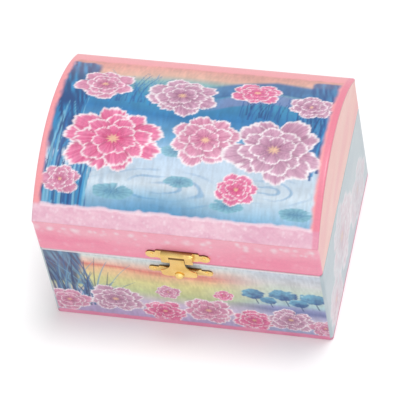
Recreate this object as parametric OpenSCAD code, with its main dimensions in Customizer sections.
// Musical jewellery box with a turning dancer, a domed lid and an 18-note movement.
// The front faces -Y, the width runs along X and the box stands on z = 0.

/* [Box] */
// Outer width, left to right
box_w = 150; // [130:1:220]
// Outer depth, front to back
box_d = 108; // [106:1:160]
// Height of the base, floor to seam
base_h = 61; // [58:1:90]
// Height of the upright walls of the lid
lid_wall_h = 24.5; // [20:0.5:40]
// Rise of the dome above the upright walls
dome_rise = 21; // [14:0.5:30]
// Height of the open seam between lid and base
seam_gap = 0.3; // [0.2:0.05:0.6]
// Radius of the paper-covered upright corners
corner_r = 1.8; // [1:0.1:3]

/* [Boards] */
// Thickness of the wall boards
board_t = 4; // [3:0.5:5]
// Thickness of the bent dome board
dome_t = 2.5; // [2:0.25:3.5]
// Thickness of the printed covering paper
paper_t = 0.3; // [0.2:0.05:0.4]
// Thickness of the velvet lining
lining_t = 0.5; // [0.4:0.1:0.8]
// Height of the open recess under the bottom board
recess_h = 13; // [12:0.5:16]
// Thickness of the bottom board
bottom_t = 3; // [2:0.5:4]
// Depth of the groove that holds the bottom board
groove_d = 1.5; // [1:0.25:2]
// Depth of the stage, front to back
stage_d = 52; // [52:1:60]
// Thickness of the stage deck
deck_t = 3; // [2:0.5:4]
// Thickness of the partition below the stage
partition_t = 2.5; // [2:0.5:3]
// Width of the ring compartment
ring_w = 48.5; // [40:0.5:56]
// Number of padded ring rolls
ring_rolls = 5; // [3:1:6]

/* [Mirror] */
// Depth of the mirror board along its upper face
mirror_d = 70; // [50:1:76]
// Thickness of the mirror board
mirror_board_t = 2; // [1.5:0.5:3]
// Thickness of the mirror glass
glass_t = 1.5; // [1:0.25:2]
// Width of the mirror frame band
frame_band = 6; // [4:0.5:9]

/* [Latch] */
// Width of the two latch plates
latch_w = 34; // [28:1:40]
// Thickness of the latch sheet
latch_t = 0.8; // [0.6:0.1:1]
// Width of the hasp at its neck
neck_w = 8; // [6:0.5:10]
// Width of the hasp at its foot
hasp_w = 19; // [16:0.5:22]
// Radius of the round knob
knob_r = 2.7; // [2:0.1:3.2]

/* [Hinges] */
// Distance of each hinge from the middle of the box
hinge_x = 45; // [35:1:55]
// Width of each hinge
hinge_w = 22; // [16:1:28]
// Height of each hinge leaf from the pin
leaf_h = 10; // [8:0.5:12]
// Thickness of each hinge leaf
leaf_t = 0.7; // [0.5:0.1:1]
// Radius of the hinge knuckles
knuckle_r = 2; // [1.7:0.1:2.5]
// Radius of the hinge pins
hinge_pin_r = 0.8; // [0.6:0.1:1]

/* [Movement] */
// Clear height for the movement under the stage
movement_room = 19.5; // [19.5:0.5:30]
// Distance of the dancer's axis from the back lining board
axis_back = 25.7; // [25:0.1:27]
// Radius of the pinned cylinder without its pins
cylinder_r = 6.5; // [6.2:0.1:6.8]
// Number of notes on the comb
notes = 18; // [12:1:20]
// Radius of the winding arbor
arbor_r = 1.8; // [1.5:0.1:2]
// Radius of the spindle that turns the dancer
spindle_r = 1.2; // [1:0.1:1.5]
// Width of the winding key
key_w = 20; // [16:1:26]

/* [Dancer] */
// Radius of the turntable
turntable_r = 8.5; // [7:0.5:11]
// Free space above the dancer's hands
head_room = 1.2; // [1:0.1:4]
// Outer radius of the net skirt
skirt_r = 9.5; // [8:0.5:11]

/* [Hidden] */

$fn = 48;

// Running clearance of a shaft in its hole, and of a fixed part in its seat
run_gap = 0.05;
seat_gap = 0.02;
// Free air between two moving bodies
air = 0.3;
// Overlap of a cutting solid past the face it opens
over = 1;

// Heights of the box
seam_z = base_h + seam_gap / 2;
lid_z = base_h + seam_gap;
fold_z = lid_z + lid_wall_h;
top_z = fold_z + dome_rise;
dome_r = (pow(dome_rise, 2) + pow(box_d / 2, 2)) / (2 * dome_rise);
dome_z = top_z - dome_r;
// Top of the upright lid boards, where the dome board lands on them
shoulder_z = dome_z + sqrt(pow(dome_r - paper_t, 2) - pow(box_d / 2 - paper_t, 2)) - 0.05;

// Inner faces of the wall boards, and the linings on them
wall_t = paper_t + board_t;
in_x = box_w / 2 - wall_t;
in_y = box_d / 2 - wall_t;
floor_z = recess_h + bottom_t;
deck_z = floor_z + movement_room;
deck_top = deck_z + deck_t;
stage_z = deck_top + lining_t;
stage_y = in_y - stage_d;
axis_y = in_y - axis_back;
rim_drop = 1.5;

// Mirror heights
under_dome_r = dome_r - paper_t - dome_t - 0.08;
lining_r = under_dome_r - lining_t;
mirror_top = dome_z + sqrt(pow(lining_r - 0.1, 2) - pow(mirror_d / 2, 2));
mirror_z = mirror_top - mirror_board_t;
mirror_w = 2 * (in_x - lining_t);
frame_w = mirror_w - 6;
frame_d = mirror_d - 2;
frame_lip = 0.6;
frame_z = mirror_z - glass_t - frame_lip;

// Latch heights, measured from the seam
plate_low = 3.2;
plate_high = 10.2;
hasp_pivot = 7;
catch_high = -4;
catch_low = -9.4;
hasp_foot = -8.2;
knob_up = 1.4;
hasp_back = 2.8;
knuckle_hasp_r = 1.1;
hasp_pin_r = 0.5;
hasp_pin_y = -box_d / 2 - hasp_back - latch_t + knuckle_hasp_r;
lug_w = 1.4;
// Raised middle of the lid plate, which hides the hasp's pivot
raised_w = 16.7;
raised_out = hasp_back + 0.5;
raised_t = 0.6;
raised_low = plate_low + 0.3;
raised_high = plate_high + 0.35;
nail_r = 0.45;
nail_l = 2.6;
nail_head_r = 0.9;
nail_head_t = 0.35;

// Hinge pin axis
hinge_y = box_d / 2 + knuckle_r + 0.15;
knuckles = 5;
screw_r = 0.6;
screw_l = 3;
screw_head_r = 1.3;
screw_head_t = 0.5;

// Stock 18-note movement: crown wheel and pinion of one module, and the pinned length
crown_mod = 0.6;
crown_teeth = 36;
pinion_teeth = 12;
cylinder_l = 20;

// Movement places, measured from the dancer's axis
bed_t = 1.6;
bed_top = floor_z + bed_t;
pin_out = 0.7;
shaft_z = bed_top + cylinder_r + pin_out + 0.6;
crown_r = crown_mod * crown_teeth / 2;
crown_face = 1.2;
pinion_r = crown_mod * pinion_teeth / 2;
crown_pitch_z = shaft_z + pinion_r;
crown_top = crown_pitch_z + 1.25 * crown_mod + 1.25;
drum_r = 8.6;
drum_wall = 0.8;
drum_z = bed_top + 0.6;
cylinder_x = 13.9;
cylinder_end = cylinder_x + cylinder_l;
cyl_shaft_r = 0.8;
train_mod = 0.4;
great_teeth = 34;
small_teeth = 10;
great_r = train_mod * great_teeth / 2;
small_r = train_mod * small_teeth / 2;
idler_y = great_r + small_r;
wheel_teeth = 24;
wheel_r = train_mod * wheel_teeth / 2;
worm_starts = 3;
worm_r = 1.4;
worm_lead = worm_starts * PI * train_mod;
worm_y = idler_y + wheel_r + worm_r;
fine_shaft_r = 0.6;
great_x = cylinder_end + 0.5;
gear_t = 1;
wheel_t = 0.6;
wheel_x = great_x + gear_t + 1.6;
far_post_x = wheel_x + 1.7;
post_t = 1.2;
brake_r = 4.5;
brake_z = shaft_z + wheel_r + train_mod + 0.2;
brake_h = 2.8;
bridge_z = brake_z + brake_h + 0.3;
comb_t = 0.9;
comb_tip = cylinder_r + pin_out + 0.1;
comb_back = 22;
comb_w = cylinder_l - 0.6;
comb_heel = 5;

// Dancer places
turntable_z = stage_z + air;
turntable_t = 1.5;
spring_z = turntable_z + turntable_t;
spring_h = 5.2;
spring_r = 1.9;
spring_wire = 0.35;
spring_turns = 5;
sway_z = spring_z + 2.6;
figure_z = spring_z + spring_h;
figure_h = frame_z - head_room - figure_z;
// The figure is drawn 40 high and scaled to the room under the mirror
figure_k = figure_h / 40;
waist = 19;

// Stop rod
rod_r = 0.8;
rod_x = wheel_x;
rod_y = in_y - 2.2;
rod_foot_z = brake_z + 0.1;
rod_foot_t = 1;
rod_lift = deck_z - air - rod_foot_z - rod_foot_t;

// ---------------------------------------------------------------- shared shapes

// Upright block with round corners, drawn in from the outer faces
module upright(inset, low, high) {
    r = corner_r - inset;
    x = box_w / 2 - inset;
    y = box_d / 2 - inset;
    translate([0, 0, low])
        linear_extrude(high - low) {
            square([2 * x, 2 * (y - r)], center = true);
            square([2 * (x - r), 2 * y], center = true);
            for (i = [-1, 1], j = [-1, 1])
                translate([i * (x - r), j * (y - r)]) circle(r);
        }
}

module slab(low, high) {
    translate(low) cube(high - low);
}

// Cross-section of the lid in Y and Z, with the given half depth and dome radius
module lid_section(half_d, r, low) {
    intersection() {
        translate([0, dome_z]) circle(r, $fn = 96);
        translate([-half_d, low]) square([2 * half_d, top_z - low + over]);
    }
}

module along_x(from, to) {
    translate([from, 0, 0]) rotate([90, 0, 90]) linear_extrude(to - from) children();
}

module x_rod(from, to, r) {
    translate([from, 0, 0]) rotate([0, 90, 0]) cylinder(h = to - from, r = r);
}

// Round hole or shank along Y, from the outer face inward; side is -1 at the front
module y_rod(x, z, side, out, depth, r) {
    translate([x, side * (box_d / 2 + out), z])
        rotate([side * 90, 0, 0]) cylinder(h = depth + out, r = r);
}

// Involute gear outline with one tooth centred on the +X side
function inv(a) = tan(a) * 180 / PI - a;
function tooth_half(m, n, slack, r) = let (rp = m * n / 2, rb = rp * cos(20))
    90 / n - slack / m / n * 180 / PI + inv(20) - inv(r <= rb ? 0 : acos(rb / r));
function tooth_radii(m, n, add) = let (rp = m * n / 2)
    [rp - 1.25 * m, max(rp * cos(20), rp - 0.8 * m), rp, rp + 0.5 * add * m, rp + add * m];
module gear_outline(m, n, slack, add = 0.95) {
    radii = tooth_radii(m, n, add);
    polygon([for (i = [0:n - 1], side = [-1, 1], j = [0:4])
        let (r = radii[side < 0 ? j : 4 - j],
            a = 360 * i / n + side * tooth_half(m, n, slack, r)) r * [cos(a), sin(a)]]);
}

// ---------------------------------------------------------------- base carcass

module bottom_slot() {
    slab([-in_x - groove_d, -in_y - groove_d, recess_h],
        [in_x + groove_d, in_y + groove_d, floor_z]);
}

module base_long_board(side) {
    difference() {
        intersection() {
            upright(paper_t, paper_t, base_h - paper_t);
            translate([0, side * (in_y + board_t)]) slab([-box_w, -board_t, -over],
                [box_w, board_t, base_h]);
        }
        bottom_slot();
        hinge_screw_cuts(-1);
        latch_nail_cuts();
    }
}

module base_end_board(side) {
    difference() {
        slab([side * (in_x + board_t / 2) - board_t / 2, -in_y, paper_t],
            [side * (in_x + board_t / 2) + board_t / 2, in_y, base_h - paper_t]);
        bottom_slot();
    }
}

module base_front_board() {
    color("tan") base_long_board(-1);
}

module base_back_board() {
    color("tan") base_long_board(1);
}

module base_left_board() {
    color("tan") base_end_board(-1);
}

module base_right_board() {
    color("tan") base_end_board(1);
}

module bottom_board() {
    color("tan") difference() {
        bottom_slot();
        translate([0, axis_y, recess_h - over])
            cylinder(h = bottom_t + 2 * over, r = arbor_r + 0.5);
        movement_screw_places() translate([0, 0, recess_h - over])
            cylinder(h = bottom_t + 2 * over, r = screw_r + seat_gap);
    }
}

// Printed paper over the outside of the base, turned in over its rim and under its foot
module base_paper() {
    color("lightsteelblue") difference() {
        upright(0, 0, base_h);
        upright(paper_t, paper_t, base_h - paper_t);
        slab([-in_x, -in_y, -over], [in_x, in_y, base_h + over]);
        hinge_screw_cuts(-1);
        latch_nail_cuts();
    }
}

module partition() {
    color("tan") slab([-in_x, stage_y, floor_z], [in_x, stage_y + partition_t, deck_z]);
}

module deck_cleats() {
    cleat = 5;
    color("tan") for (side = [-1, 1])
        translate([side * (in_x - cleat / 2), 0, 0])
            slab([-cleat / 2, stage_y + partition_t + 3, deck_z - cleat],
                [cleat / 2, in_y - 3, deck_z]);
}

module stage_deck() {
    color("tan") difference() {
        slab([-in_x, stage_y, deck_z], [in_x, in_y, deck_top]);
        translate([0, axis_y, deck_z - over]) cylinder(h = 9, r = spindle_r + 1.2 + seat_gap);
        translate([rod_x, rod_y, deck_z - over]) cylinder(h = 9, r = rod_r + run_gap);
    }
}

// ---------------------------------------------------------------- linings and ring rolls

// Velvet on the deck and on the three walls round the stage
module stage_lining() {
    color("pink") difference() {
        slab([-in_x, stage_y, deck_top], [in_x, in_y, base_h - rim_drop]);
        slab([-in_x + lining_t, stage_y - over, stage_z],
            [in_x - lining_t, in_y - lining_t, base_h + over]);
        translate([0, axis_y, deck_top - over]) cylinder(h = 3, r = spindle_r + 2.6);
        translate([rod_x, rod_y, deck_top - over]) cylinder(h = 3, r = rod_r + run_gap);
    }
}

// Velvet inside the front compartment, up to the deck behind and to the rim in front
module tray_lining() {
    color("pink") difference() {
        slab([-in_x, -in_y, floor_z], [in_x, stage_y, base_h - rim_drop]);
        slab([-in_x + lining_t, -in_y + lining_t, floor_z + lining_t],
            [in_x - lining_t, stage_y - lining_t, base_h + over]);
        slab([-in_x + lining_t, stage_y - over, stage_z],
            [in_x - lining_t, stage_y + over, base_h + over]);
    }
}

ring_x = -in_x + lining_t + ring_w;
divider_t = 2;
tray_floor = floor_z + lining_t;
foam_h = 14;
roll_r = (ring_w - 0.2 * (ring_rolls + 1)) / ring_rolls / 2;
module tray_divider() {
    color("pink") slab([ring_x, -in_y + lining_t, tray_floor],
        [ring_x + divider_t, stage_y - lining_t, stage_z - 1]);
}

module ring_foam() {
    color("hotpink") slab([ring_x - ring_w + 0.2, -in_y + lining_t + 0.2, tray_floor],
        [ring_x - 0.2, stage_y - lining_t - 0.2, tray_floor + foam_h]);
}

module ring_cushions() {
    color("pink") for (i = [0:ring_rolls - 1])
        translate([ring_x - ring_w + 0.2 + roll_r + i * (2 * roll_r + 0.2),
            -in_y + lining_t + 0.3, tray_floor + foam_h + roll_r])
            rotate([-90, 0, 0])
                cylinder(h = stage_y + in_y - 2 * lining_t - 0.6, r = roll_r);
}

// ---------------------------------------------------------------- lid

// Upright block cut off by the dome, drawn in from the outer faces
module lid_block(inset, low) {
    intersection() {
        along_x(-box_w, box_w) translate([0, dome_z]) circle(dome_r - inset, $fn = 96);
        upright(inset, low, top_z + over);
    }
}

module lid_long_board(side) {
    difference() {
        intersection() {
            upright(paper_t, lid_z + paper_t, shoulder_z);
            translate([0, side * (in_y + board_t)]) slab([-box_w, -board_t, 0],
                [box_w, board_t, top_z]);
        }
        hinge_screw_cuts(1);
        latch_nail_cuts();
    }
}

module lid_end(side) {
    x = side * (in_x + board_t / 2);
    along_x(x - board_t / 2, x + board_t / 2)
        lid_section(in_y, under_dome_r, lid_z + paper_t);
}

module lid_front_board() {
    color("tan") lid_long_board(-1);
}

module lid_back_board() {
    color("tan") lid_long_board(1);
}

module lid_left_end() {
    color("tan") lid_end(-1);
}

module lid_right_end() {
    color("tan") lid_end(1);
}

module dome_board() {
    color("tan") difference() {
        lid_block(paper_t, shoulder_z);
        along_x(-box_w, box_w) translate([0, dome_z])
            circle(dome_r - paper_t - dome_t, $fn = 96);
    }
}

// Printed paper over the outside of the lid and under its rim
module lid_paper() {
    color("mediumslateblue") difference() {
        lid_block(0, lid_z);
        lid_block(paper_t, lid_z + paper_t);
        slab([-in_x, -in_y, lid_z - over], [in_x, in_y, lid_z + over]);
        hinge_screw_cuts(1);
        latch_nail_cuts();
    }
}

module lid_lining() {
    color("pink") difference() {
        along_x(-in_x, in_x)
            lid_section(in_y, under_dome_r, lid_z + rim_drop);
        along_x(-in_x + lining_t, in_x - lining_t)
            lid_section(in_y - lining_t, lining_r, lid_z);
    }
}

module mirror_board() {
    color("pink") intersection() {
        slab([-mirror_w / 2, -box_d / 2, mirror_z], [mirror_w / 2, box_d / 2, mirror_top]);
        along_x(-box_w, box_w) translate([0, dome_z]) circle(lining_r - 0.1, $fn = 96);
    }
}

module mirror_glass() {
    color("silver") slab([-frame_w / 2 + frame_band / 2, -frame_d / 2 + frame_band / 2,
        mirror_z - glass_t], [frame_w / 2 - frame_band / 2, frame_d / 2 - frame_band / 2,
        mirror_z]);
}

// Padded band that laps over the edge of the glass
module mirror_frame() {
    color("hotpink") difference() {
        slab([-frame_w / 2, -frame_d / 2, frame_z], [frame_w / 2, frame_d / 2, mirror_z]);
        slab([-frame_w / 2 + frame_band / 2, -frame_d / 2 + frame_band / 2,
            mirror_z - glass_t], [frame_w / 2 - frame_band / 2,
            frame_d / 2 - frame_band / 2, mirror_z + over]);
        slab([-frame_w / 2 + frame_band, -frame_d / 2 + frame_band, frame_z - over],
            [frame_w / 2 - frame_band, frame_d / 2 - frame_band, mirror_z + over]);
    }
}

// Block on the lid's back board that presses the stop rod down
module stop_striker() {
    striker = 6;
    color("pink") slab([rod_x - striker / 2, rod_y - striker / 2, lid_z + 0.1],
        [rod_x + striker / 2, in_y - lining_t, lid_z + striker]);
}

// ---------------------------------------------------------------- latch

// Sheet outline on the front face, standing out from it between two distances
module front_sheet(near, far) {
    translate([0, -box_d / 2 - near, seam_z]) rotate([90, 0, 0])
        linear_extrude(far - near) children();
}

// Lobed plate: a bar with a round lobe at each end and a raised middle
module plate_outline(low, high, step) {
    lobe = (high - low - step) / 2;
    for (side = [-1, 1]) {
        translate([side * (latch_w / 2 - lobe), low + lobe]) circle(lobe);
        translate([side * latch_w * 0.31, high - step]) circle(step);
    }
    translate([-latch_w / 2 + lobe, low + step / 2])
        square([latch_w - 2 * lobe, high - low - 1.8 * step]);
    translate([-latch_w * 0.31, low]) square([latch_w * 0.62, high - low]);
}

module latch_nail_places(base) {
    z = base ? (catch_high + catch_low) / 2 : (plate_low + plate_high) / 2;
    for (side = [-1, 1]) translate([side * (latch_w / 2 - 3.2), 0, seam_z + z]) children();
}

module latch_nail_cuts() {
    for (base = [true, false])
        latch_nail_places(base) y_rod(0, 0, -1, over + latch_t, nail_l, nail_r + seat_gap);
}

module latch_nails(base) {
    latch_nail_places(base) {
        y_rod(0, 0, -1, latch_t, nail_l - 0.1, nail_r);
        y_rod(0, 0, -1, latch_t + nail_head_t, -latch_t, nail_head_r);
    }
}

module hasp_axis() {
    translate([0, hasp_pin_y, seam_z + hasp_pivot]) children();
}

module raised_box(inset, back) {
    slab([-raised_w / 2 + inset, -box_d / 2 - raised_out + inset, seam_z + raised_low + inset],
        [raised_w / 2 - inset, -box_d / 2 + back, seam_z + raised_high - inset]);
}

// Pressed plate: a flat sheet, a hollow raised middle and lugs that carry the hasp's pin
module latch_lid_plate() {
    slot_w = neck_w + 2 * run_gap + 0.3;
    lug_x = slot_w / 2 + lug_w / 2;
    color("gold") difference() {
        union() {
            difference() {
                union() {
                    front_sheet(0, latch_t) plate_outline(plate_low, plate_high, 1.1);
                    raised_box(0, -latch_t / 2);
                }
                raised_box(raised_t, over);
            }
            for (side = [-1, 1])
                slab([side * lug_x - lug_w / 2, -box_d / 2 - raised_out + raised_t / 2,
                    seam_z + hasp_pivot - knuckle_hasp_r],
                    [side * lug_x + lug_w / 2, -box_d / 2 - 1.2,
                    seam_z + hasp_pivot + knuckle_hasp_r]);
        }
        slab([-slot_w / 2, -box_d, seam_z + raised_low - over],
            [slot_w / 2, -box_d / 2 - latch_t, seam_z + hasp_pivot + 1.5]);
        hasp_axis() x_rod(-latch_w, latch_w, hasp_pin_r + seat_gap);
        latch_nail_cuts();
    }
}

module latch_base_plate() {
    color("gold") difference() {
        union() {
            front_sheet(0, latch_t) plate_outline(catch_low, catch_high, 0.8);
            translate([0, -box_d / 2 - latch_t / 2, seam_z + hasp_foot + knob_up])
                rotate([90, 0, 0]) cylinder(h = hasp_back - latch_t / 2 - 0.1, r = 1.2);
        }
        latch_nail_cuts();
    }
}

// Bell-shaped hasp: a neck that flares in a hollow curve to a wide foot
module hasp_outline() {
    foot_r = 2.2;
    flare_r = (hasp_w - neck_w) / 2 + 0.9;
    flare_z = hasp_foot + 4.6 + flare_r;
    difference() {
        union() {
            translate([-neck_w / 2, hasp_foot]) square([neck_w, hasp_pivot - hasp_foot]);
            translate([-hasp_w / 2, hasp_foot + foot_r])
                square([hasp_w, flare_z - hasp_foot - foot_r]);
            translate([-hasp_w / 2 + foot_r, hasp_foot]) square([hasp_w - 2 * foot_r, 2 * foot_r]);
            for (side = [-1, 1])
                translate([side * (hasp_w / 2 - foot_r), hasp_foot + foot_r]) circle(foot_r);
        }
        for (side = [-1, 1])
            translate([side * (neck_w / 2 + flare_r), flare_z]) circle(flare_r);
    }
}

module latch_hasp() {
    color("goldenrod") difference() {
        union() {
            front_sheet(hasp_back, hasp_back + latch_t) hasp_outline();
            hasp_axis() x_rod(-neck_w / 2, neck_w / 2, knuckle_hasp_r);
        }
        hasp_axis() x_rod(-latch_w, latch_w, hasp_pin_r + run_gap);
        translate([0, 0, seam_z + hasp_foot + knob_up])
            y_rod(0, 0, -1, hasp_back + latch_t + over, 0, 0.8 + seat_gap);
    }
}

module hasp_knob() {
    color("gold")
        translate([0, -box_d / 2 - hasp_back - latch_t, seam_z + hasp_foot + knob_up]) {
            intersection() {
                translate([0, 0.6, 0]) sphere(knob_r);
                translate([-9, -9, -9]) cube([18, 9, 18]);
            }
            rotate([-90, 0, 0]) cylinder(h = latch_t, r = 0.8);
        }
}

module hasp_pin() {
    half = neck_w / 2 + 0.2 + lug_w;
    color("gold") hasp_axis() x_rod(-half, half, hasp_pin_r);
}

module latch_nails_lid() {
    color("gold") latch_nails(false);
}

module latch_nails_base() {
    color("gold") latch_nails(true);
}

// ---------------------------------------------------------------- hinges

module hinge_places() {
    for (side = [-1, 1]) translate([side * hinge_x, 0, 0]) children();
}

module hinge_screw_places(up) {
    for (side = [-1, 1], i = [-1, 1])
        translate([side * hinge_x + i * hinge_w * 0.3, 0, seam_z + up * leaf_h * 0.66])
            children();
}

module hinge_screw_cuts(up) {
    hinge_screw_places(up) y_rod(0, 0, 1, over + leaf_t, screw_l, screw_r + seat_gap);
}

module hinge_screws(up) {
    hinge_screw_places(up) {
        y_rod(0, 0, 1, leaf_t, screw_l - 0.1, screw_r);
        y_rod(0, 0, 1, leaf_t + screw_head_t, -leaf_t, screw_head_r);
    }
}

// One hinge half: a leaf on the back face and every second knuckle round the pin
module hinge_leaf(up) {
    pitch = hinge_w / knuckles;
    first = up > 0 ? 1 : 0;
    difference() {
        union() {
            translate([0, box_d / 2 + leaf_t / 2, seam_z + up * leaf_h / 2])
                cube([hinge_w, leaf_t, leaf_h], center = true);
            for (i = [first:2:knuckles - 1])
                translate([-hinge_w / 2 + i * pitch, hinge_y, seam_z])
                    x_rod(0.1, pitch - 0.1, knuckle_r);
        }
        for (i = [1 - first:2:knuckles - 1])
            translate([-hinge_w / 2 + i * pitch, 0, seam_z])
                slab([-0.1, 0, -knuckle_r - air], [pitch + 0.1, hinge_y + over,
                    knuckle_r + air]);
        translate([-hinge_w, hinge_y, seam_z]) x_rod(0, 2 * hinge_w, hinge_pin_r + run_gap);
    }
}

module hinge_leaves_base() {
    color("gold") difference() {
        hinge_places() hinge_leaf(-1);
        hinge_screw_cuts(-1);
    }
}

module hinge_leaves_lid() {
    color("gold") difference() {
        hinge_places() hinge_leaf(1);
        hinge_screw_cuts(1);
    }
}

module hinge_pins() {
    color("gold") hinge_places()
        translate([0, hinge_y, seam_z]) x_rod(-hinge_w / 2, hinge_w / 2, hinge_pin_r);
}

module hinge_screws_base() {
    color("gold") hinge_screws(-1);
}

module hinge_screws_lid() {
    color("gold") hinge_screws(1);
}

// ---------------------------------------------------------------- movement frame

module at_axis() {
    translate([0, axis_y, 0]) children();
}

bed_left = -13;
bed_right = far_post_x + post_t + 4;
bed_front = -comb_back;
bed_rear = worm_y + 4;
module movement_screw_places() {
    at_axis() for (x = [bed_left + 3, bed_right - 3], y = [bed_front + 3, bed_rear - 3])
        translate([x, y, 0]) children();
}

module bearing_post(x, y, r, bore) {
    translate([x, y, 0]) {
        slab([0, -r, bed_top - 0.1], [post_t, r, shaft_z]);
        translate([0, 0, shaft_z]) x_rod(0, post_t, r);
    }
}

// Cast bedplate with the comb bed, the bearing posts and the air brake's bridge
module bedplate() {
    bridge_x = wheel_x + brake_r + 0.8;
    color("lightgray") at_axis() difference() {
        union() {
            slab([bed_left, bed_front, floor_z], [bed_right, bed_rear, bed_top]);
            slab([cylinder_x - 0.5, -comb_back, floor_z],
                [cylinder_end + 0.5, -comb_back + comb_heel, shaft_z - comb_t / 2]);
            bearing_post(cylinder_x - 0.4 - post_t, 0, 2.2);
            bearing_post(far_post_x, 0, 2.2);
            bearing_post(far_post_x, idler_y, 2.2);
            bearing_post(great_x - 0.9 - post_t, idler_y, 1.3);
            slab([bridge_x, worm_y - 2, bed_top - 0.1], [bridge_x + 1.5, worm_y + 2,
                bridge_z + 1]);
            slab([wheel_x - 1.5, worm_y - 2, bridge_z], [bridge_x + 1.5, worm_y + 2,
                bridge_z + 1]);
        }
        translate([0, 0, shaft_z]) x_rod(cylinder_x - 3, bed_right + over,
            cyl_shaft_r + run_gap);
        translate([0, idler_y, shaft_z]) x_rod(great_x - 4, bed_right + over,
            fine_shaft_r + run_gap);
        translate([wheel_x, worm_y, floor_z + 0.4])
            cylinder(h = bridge_z, r = fine_shaft_r + run_gap);
        translate([0, 0, floor_z - over]) cylinder(h = 9, r = arbor_r + run_gap);
        comb_screw_places() translate([0, 0, floor_z - over])
            cylinder(h = 20, r = screw_r + seat_gap);
        for (x = [bed_left + 3, bed_right - 3], y = [bed_front + 3, bed_rear - 3])
            translate([x, y, floor_z - over]) cylinder(h = 9, r = screw_r + seat_gap);
    }
}

module movement_screws() {
    color("silver") movement_screw_places() {
        translate([0, 0, recess_h + 0.2])
            cylinder(h = bed_top - recess_h - 0.2, r = screw_r);
        translate([0, 0, bed_top]) cylinder(h = screw_head_t, r = screw_head_r);
    }
}

module comb_screw_places() {
    for (i = [-1, 1])
        translate([(cylinder_x + cylinder_end) / 2 + i * comb_w * 0.3,
            -comb_back + comb_heel / 2, 0]) children();
}

// Steel comb: one slot between each two notes, shorter teeth towards the treble
module note_comb() {
    pitch = comb_w / notes;
    slot_w = 0.22;
    comb_l = comb_back - comb_tip;
    color("silver") at_axis() difference() {
        translate([cylinder_x + 0.3, -comb_back, shaft_z - comb_t / 2])
            linear_extrude(comb_t) difference() {
                square([comb_w, comb_l]);
                for (i = [1:notes - 1])
                    translate([i * pitch - slot_w / 2, comb_heel + 0.4 + i * 0.18])
                        square([slot_w, comb_l]);
            }
        comb_screw_places() cylinder(h = 40, r = screw_r + seat_gap);
    }
}

module comb_screws() {
    color("steelblue") at_axis() comb_screw_places() {
        translate([0, 0, bed_top]) cylinder(h = shaft_z + comb_t / 2 - bed_top, r = screw_r);
        translate([0, 0, shaft_z + comb_t / 2]) cylinder(h = 0.8, r = 1.6);
    }
}

// ---------------------------------------------------------------- barrel and winding

// Crown tooth: a straight rack tooth pointing down, laid along the radius
module crown_tooth() {
    half = PI * crown_mod / 4 - 0.14;
    add = 0.95 * crown_mod;
    ded = 1.25 * crown_mod;
    translate([crown_r - crown_face / 2, 0, crown_pitch_z]) rotate([90, 0, 90])
        linear_extrude(crown_face) polygon([
            [-half + add * tan(20), -add], [half - add * tan(20), -add],
            [half + ded * tan(20), ded + 0.1], [-half - ded * tan(20), ded + 0.1]]);
}

module spring_barrel() {
    root = crown_pitch_z + 1.25 * crown_mod;
    color("gold") at_axis() {
        rotate_extrude() polygon([
            [arbor_r + run_gap, drum_z], [drum_r, drum_z], [drum_r, root],
            [crown_r + 1.4, root], [crown_r + 1.4, crown_top],
            [spindle_r + seat_gap, crown_top], [spindle_r + seat_gap, crown_top - 0.9],
            [0, crown_top - 0.9], [0, crown_top - 1.6], [drum_r - drum_wall, crown_top - 1.6],
            [drum_r - drum_wall, drum_z + drum_wall], [arbor_r + run_gap, drum_z + drum_wall]]);
        for (i = [0:crown_teeth - 1]) rotate([0, 0, i * 360 / crown_teeth]) crown_tooth();
    }
}

// Clock spring: half rings whose centres step from side to side
module mainspring() {
    pitch = 1.1;
    strip = 0.4;
    coils = 4;
    low = drum_z + drum_wall + 0.4;
    color("steelblue") at_axis() translate([0, 0, low])
        linear_extrude(crown_top - 2 - low)
            for (i = [0:2 * coils - 1]) {
                r = arbor_r + 0.9 + i * pitch / 2;
                side = i % 2 == 0 ? 1 : -1;
                translate([side * pitch / 4, 0]) intersection() {
                    difference() {
                        circle(r + strip);
                        circle(r);
                    }
                    translate([-20, side > 0 ? 0 : -20]) square([40, 20]);
                }
            }
}

module winding_arbor() {
    color("silver") at_axis() {
        translate([0, 0, 5]) cylinder(h = drum_z + 8 - 5, r = arbor_r);
        translate([0, 0, bed_top + 0.1]) cylinder(h = 0.4, r = 3.2);
    }
}

// Butterfly key with two round wings and a boss
module winding_key() {
    wing = 4.2;
    key_t = 1.6;
    boss_r = 3.2;
    color("gold") at_axis() difference() {
        union() {
            translate([0, 0, 4]) cylinder(h = recess_h - 1 - 4, r = boss_r);
            translate([0, key_t / 2, 1.5 + wing]) rotate([90, 0, 0]) linear_extrude(key_t) {
                for (side = [-1, 1]) translate([side * (key_w / 2 - wing), 0]) circle(wing);
                translate([-key_w / 2 + wing, -2]) square([key_w - 2 * wing, 5]);
            }
        }
        for (side = [-1, 1]) translate([side * (key_w / 2 - wing), key_w, 1.5 + wing])
            rotate([90, 0, 0]) cylinder(h = 2 * key_w, r = 1.6);
        translate([0, 0, 5]) cylinder(h = recess_h, r = arbor_r + seat_gap);
    }
}

// ---------------------------------------------------------------- cylinder, train, brake

module music_cylinder() {
    pins_per_note = 4;
    color("gold") at_axis() translate([0, 0, shaft_z]) difference() {
        union() {
            x_rod(cylinder_x, cylinder_end, cylinder_r);
            for (i = [0:notes - 1], j = [0:pins_per_note - 1])
                translate([cylinder_x + 0.3 + (i + 0.5) * comb_w / notes, 0, 0])
                    rotate([(i * 137 + j * 83) % 360, 0, 0])
                        translate([0, 0, cylinder_r - 0.3])
                            cylinder(h = pin_out + 0.3, r = 0.2, $fn = 16);
        }
        x_rod(0, 60, cyl_shaft_r + seat_gap);
    }
}

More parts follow.
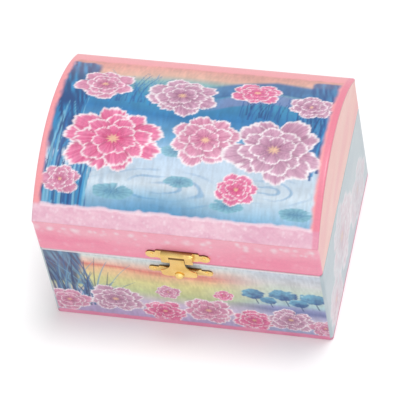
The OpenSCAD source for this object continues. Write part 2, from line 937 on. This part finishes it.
// Arbor of the cylinder with its pinion at the barrel and its great wheel at the train
module cylinder_arbor() {
    color("silver") at_axis() translate([0, 0, shaft_z]) {
        x_rod(crown_r - 1.2, far_post_x + post_t, cyl_shaft_r);
        along_x(crown_r - 0.9, crown_r + 0.9)
            rotate(180 / pinion_teeth) gear_outline(crown_mod, pinion_teeth, 0.1);
        along_x(great_x, great_x + gear_t) gear_outline(train_mod, great_teeth, 0.1);
    }
}

module idler_arbor() {
    color("silver") at_axis() translate([0, idler_y, shaft_z]) {
        x_rod(great_x - 0.9 - post_t, far_post_x + post_t, fine_shaft_r);
        along_x(great_x - 0.2, great_x + gear_t + 0.2)
            rotate(180 / small_teeth) gear_outline(train_mod, small_teeth, 0.1);
    }
}

module idler_wheel() {
    color("white") at_axis() translate([0, idler_y, shaft_z]) difference() {
        along_x(wheel_x - wheel_t / 2, wheel_x + wheel_t / 2)
            gear_outline(train_mod, wheel_teeth, 0.3, 0.7);
        x_rod(0, 60, fine_shaft_r + seat_gap);
    }
}

// Three-start worm: one lobe for each start, twisted along the spindle
module worm_spindle() {
    worm_l = 5;
    half = (PI * train_mod / 4 - 0.05) * 360 / worm_lead;
    slope = tan(20) * 360 / worm_lead;
    // Turn that sets a gap of the worm against a tooth of the wheel at rest
    phase = 90;
    add = 0.35;
    ded = 0.45;
    color("white") at_axis() translate([wheel_x, worm_y, 0]) {
        translate([0, 0, floor_z + 0.4])
            cylinder(h = bridge_z + 0.9 - floor_z - 0.4, r = fine_shaft_r);
        translate([0, 0, shaft_z - worm_l / 2]) rotate(phase)
            linear_extrude(worm_l, twist = -360 * worm_l / worm_lead, slices = 30, $fn = 12)
                polygon([for (i = [0:worm_starts - 1],
                    p = [[-ded, -1], [0, -1], [add, -1], [add, 1], [0, 1], [-ded, 1]])
                    let (a = i * 360 / worm_starts + p[1] * (half - p[0] * slope))
                    (worm_r + p[0]) * [cos(a), sin(a)]]);
    }
}

module air_brake() {
    color("white") at_axis() translate([wheel_x, worm_y, brake_z]) difference() {
        union() {
            cylinder(h = brake_h, r = 1.3);
            slab([-brake_r, -0.25, 0], [brake_r, 0.25, brake_h]);
        }
        translate([0, 0, -over]) cylinder(h = 9, r = fine_shaft_r + seat_gap);
    }
}

// Wire rod that the lid presses down to stop the air brake
module stop_rod() {
    color("silver") {
        translate([rod_x, rod_y, rod_foot_z]) cylinder(h = base_h - rod_foot_z, r = rod_r);
        slab([rod_x - 0.5, axis_y + worm_y + brake_r + air, rod_foot_z],
            [rod_x + 0.5, rod_y, rod_foot_z + rod_foot_t]);
    }
}

// ---------------------------------------------------------------- dancer

module stage_bushing() {
    bush_r = spindle_r + 1.2;
    color("gold") at_axis() difference() {
        union() {
            translate([0, 0, deck_z]) cylinder(h = deck_t, r = bush_r);
            translate([0, 0, deck_top]) cylinder(h = lining_t, r = bush_r + 1.2);
        }
        translate([0, 0, deck_z - over]) cylinder(h = 9, r = spindle_r + run_gap);
    }
}

module drive_spindle() {
    color("silver") at_axis() translate([0, 0, crown_top - 0.9])
        cylinder(h = sway_z - 0.2 - crown_top + 0.9, r = spindle_r);
}

module turntable() {
    color("white") at_axis() difference() {
        translate([0, 0, turntable_z]) rotate_extrude() polygon([
            [spindle_r + seat_gap, 0], [turntable_r, 0], [turntable_r, 0.7],
            [turntable_r - 0.8, turntable_t], [spindle_r + seat_gap, turntable_t]]);
    }
}

// Tube swept round a helix as one closed mesh
module coil(r, wire, height, turns) {
    sides = 6;
    per_turn = 14;
    n = per_turn * turns;
    ring = function (i) [for (j = [0:sides - 1])
        let (a = i * 360 / per_turn, b = 360 * j / sides)
        [(r + wire * cos(b)) * cos(a), (r + wire * cos(b)) * sin(a),
            wire + (height - 2 * wire) * i / n + wire * sin(b)]];
    polyhedron([for (i = [0:n]) each ring(i)],
        concat([[for (j = [0:sides - 1]) j]],
            [for (i = [0:n - 1], j = [0:sides - 1]) let (k = (j + 1) % sides)
                [i * sides + j, (i + 1) * sides + j, (i + 1) * sides + k, i * sides + k]],
            [[for (j = [sides - 1:-1:0]) n * sides + j]]));
}

module dancer_spring() {
    color("silver") at_axis() translate([0, 0, spring_z])
        coil(spring_r, spring_wire, spring_h, spring_turns);
}

// Limb between two points, tapering from one ball to the other
module limb(a, b, r1, r2) {
    hull() {
        translate(a) sphere(r1, $fn = 16);
        translate(b) sphere(r2, $fn = 16);
    }
}

module at_figure() {
    at_axis() translate([0, 0, figure_z]) scale(figure_k) children();
}

// Moulded dancer on one toe, one foot drawn up to the knee and the arms overhead
module dancer_figure() {
    $fn = 28;
    hip = [0.9, 0, 17];
    color("moccasin") at_figure() {
        translate([0, 0, -1.4]) cylinder(h = 1.6, r = 0.9);
        cylinder(h = 0.7, r = 2.3);
        limb([0, 0, 1.2], [0.3, 0, 9], 0.62, 0.95);
        limb([0.3, 0, 9], hip, 0.95, 1.5);
        limb([-0.9, 0, 16.3], [-5.2, -1.6, 12.2], 1.4, 0.95);
        limb([-5.2, -1.6, 12.2], [-0.9, -0.6, 7.2], 0.95, 0.5);
        rotate_extrude() polygon([[0, 15.8], [2.2, 16.4], [2.5, 17.6], [1.75, waist + 1.4],
            [2.35, 23.4], [2.6, 25.2], [2.2, 26.6], [0.9, 27.4], [0.72, 29.2], [0, 29.4]]);
        translate([0, 0, 30.9]) sphere(2.25);
        for (side = [-1, 1]) {
            limb([side * 2.3, 0, 26], [side * 4.6, -0.4, 31.2], 0.7, 0.6);
            limb([side * 4.6, -0.4, 31.2], [side * 3.2, -1, 36.6], 0.6, 0.5);
            limb([side * 3.2, -1, 36.6], [side * 1, -1.3, 39.5], 0.5, 0.42);
        }
    }
}

// Stiff net skirt, a shallow bell round the waist
module dancer_skirt() {
    color("pink") at_figure() rotate_extrude() polygon([
        [2.7, waist - 2.2], [skirt_r / figure_k, waist - 3.2],
        [skirt_r / figure_k, waist - 2.6], [5, waist - 0.6], [2.7, waist + 0.2]]);
}

module dancer_hair() {
    color("saddlebrown") at_figure() difference() {
        union() {
            translate([0, 0.25, 31.1]) sphere(2.45);
            translate([0, 1.2, 33.4]) sphere(1.25, $fn = 24);
        }
        translate([0, 0, 30.9]) sphere(2.27);
        translate([-5, -9, 25]) rotate([-24, 0, 0]) cube([10, 8, 8]);
        translate([0, 0, 24]) cylinder(h = 5.4, r = 5);
    }
}

base_front_board();
base_back_board();
base_left_board();
base_right_board();
bottom_board();
base_paper();
partition();
deck_cleats();
stage_deck();
stage_lining();
tray_lining();
tray_divider();
ring_foam();
ring_cushions();
lid_front_board();
lid_back_board();
lid_left_end();
lid_right_end();
dome_board();
lid_paper();
lid_lining();
mirror_board();
mirror_glass();
mirror_frame();
stop_striker();
latch_lid_plate();
latch_base_plate();
latch_hasp();
hasp_knob();
hasp_pin();
latch_nails_lid();
latch_nails_base();
hinge_leaves_base();
hinge_leaves_lid();
hinge_pins();
hinge_screws_base();
hinge_screws_lid();
bedplate();
movement_screws();
spring_barrel();
mainspring();
winding_arbor();
winding_key();
music_cylinder();
cylinder_arbor();
note_comb();
comb_screws();
idler_arbor();
idler_wheel();
worm_spindle();
air_brake();
stage_bushing();
drive_spindle();
turntable();
dancer_spring();
dancer_figure();
dancer_skirt();
dancer_hair();
stop_rod();
